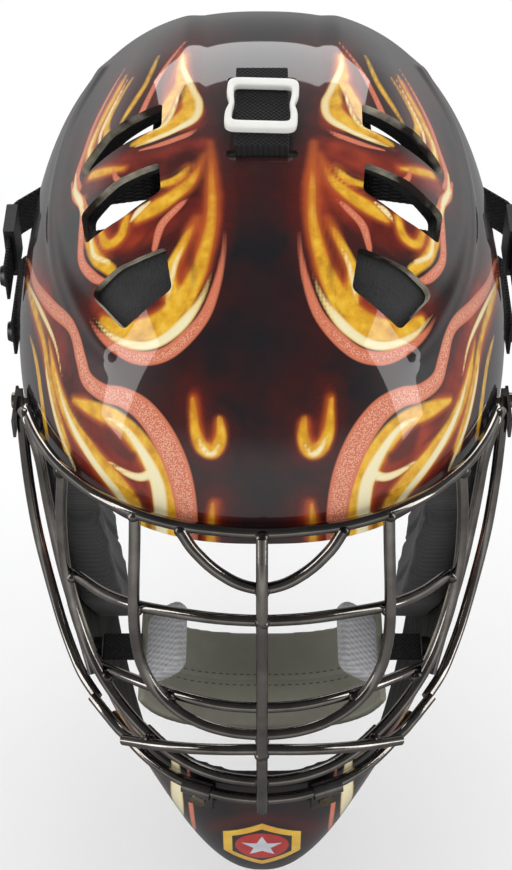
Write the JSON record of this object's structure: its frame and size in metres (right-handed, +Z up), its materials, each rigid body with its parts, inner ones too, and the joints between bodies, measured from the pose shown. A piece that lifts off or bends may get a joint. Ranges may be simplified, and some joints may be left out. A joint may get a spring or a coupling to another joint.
{
  "type": "goalie mask",
  "caption": "Hard face mask for an ice goaltender: painted composite shell, welded wire cage, foam lining, chin sling and a hinged back plate on elastic straps.",
  "frame": {"origin": "on the mirror plane, under the middle of the mask; z 0 is 6.4 mm below the lowest edge of the chin", "axes": "+Z up as worn, -Y out of the face, +X to the wearer's left"},
  "size_m": [0.2414, 0.292, 0.309],
  "materials": {
    "painted_shell": "clear-coated airbrushed composite",
    "cage_wire": "black nickel plated welded steel wire",
    "clip_steel": "bent sheet",
    "screw_steel": "plated, slightly worn",
    "liner_foam": "matte closed-cell foam",
    "jaw_fabric": "charcoal fabric over foam",
    "sweatband_fabric": "soft terry",
    "buckle_plastic": "moulded",
    "webbing": "woven webbing",
    "slider_plastic": "moulded",
    "snap_metal": "black oxide press studs",
    "cup_vinyl": "olive vinyl over foam",
    "mesh_fabric": "pale air mesh",
    "plate_plastic": "painted moulded plate"
  },
  "bodies": {
    "root": {"brow_pad": "liner_foam", "cage_brow_arch": "cage_wire", "cage_center_bar": "cage_wire", "cage_chin_rim": "cage_wire", "cage_front_crossbar": "cage_wire", "cage_inner_loop": "cage_wire", "cage_link_left": "cage_wire", "cage_link_right": "cage_wire", "cage_lower_crossbar": "cage_wire", "cage_outer_loop": "cage_wire", "cage_side_loop_left": "cage_wire", "cage_side_loop_right": "cage_wire", "cage_top_bar": "cage_wire", "cage_upper_crossbar": "cage_wire", "chin_clip_left": "clip_steel", "chin_clip_right": "clip_steel", "chin_liner": "liner_foam", "chin_rivets": "screw_steel", "chin_snaps": "snap_metal", "clip_nuts": "screw_steel", "clip_screws": "screw_steel", "crown_liner": "liner_foam", "crown_strap": "webbing", "jaw_pad_left": "jaw_fabric", "jaw_pad_right": "jaw_fabric", "mask_shell": "painted_shell", "side_clip_left": "clip_steel", "side_clip_right": "clip_steel", "strap_snaps": "snap_metal", "sweatband": "sweatband_fabric", "temple_liner_left": "liner_foam", "temple_liner_right": "liner_foam"},
    "back_plate_assembly": {"back_plate": "plate_plastic", "back_pad": "jaw_fabric", "plate_strap": "webbing", "side_strap_left": "webbing", "side_strap_right": "webbing", "lower_strap_left": "webbing", "lower_strap_right": "webbing"},
    "crown_buckle_body": {"crown_buckle": "buckle_plastic"},
    "slider_left": {"strap_slider_left": "slider_plastic"},
    "slider_right": {"strap_slider_right": "slider_plastic"},
    "chin_sling": {"chin_cup": "cup_vinyl", "chin_cup_pad_left": "mesh_fabric", "chin_cup_pad_right": "mesh_fabric", "chin_strap_left": "webbing", "chin_strap_right": "webbing"}
  },
  "joints": [
    {"name": "back_plate_swing", "type": "hinge", "parent": "root", "child": "back_plate_assembly", "pos_m": [0, 0.118, 0.291], "axis": [1, 0, 0], "range_deg": [0, 12], "stiffness_Nm_per_rad": 0.4},
    {"name": "crown_buckle_adjust", "type": "slide", "parent": "root", "child": "crown_buckle_body", "axis": [0, 1, 0], "range_m": [-0.005, 0.005]},
    {"name": "left_slider_adjust", "type": "slide", "parent": "back_plate_assembly", "child": "slider_left", "axis": [0, 1, 0], "range_m": [-0.006, 0]},
    {"name": "right_slider_adjust", "type": "slide", "parent": "back_plate_assembly", "child": "slider_right", "axis": [0, 1, 0], "range_m": [-0.006, 0]},
    {"name": "chin_sling_swing", "type": "hinge", "parent": "root", "child": "chin_sling", "pos_m": [0, -0.07, 0.0946], "axis": [1, 0, 0], "range_deg": [-6, 6]}
  ]
}
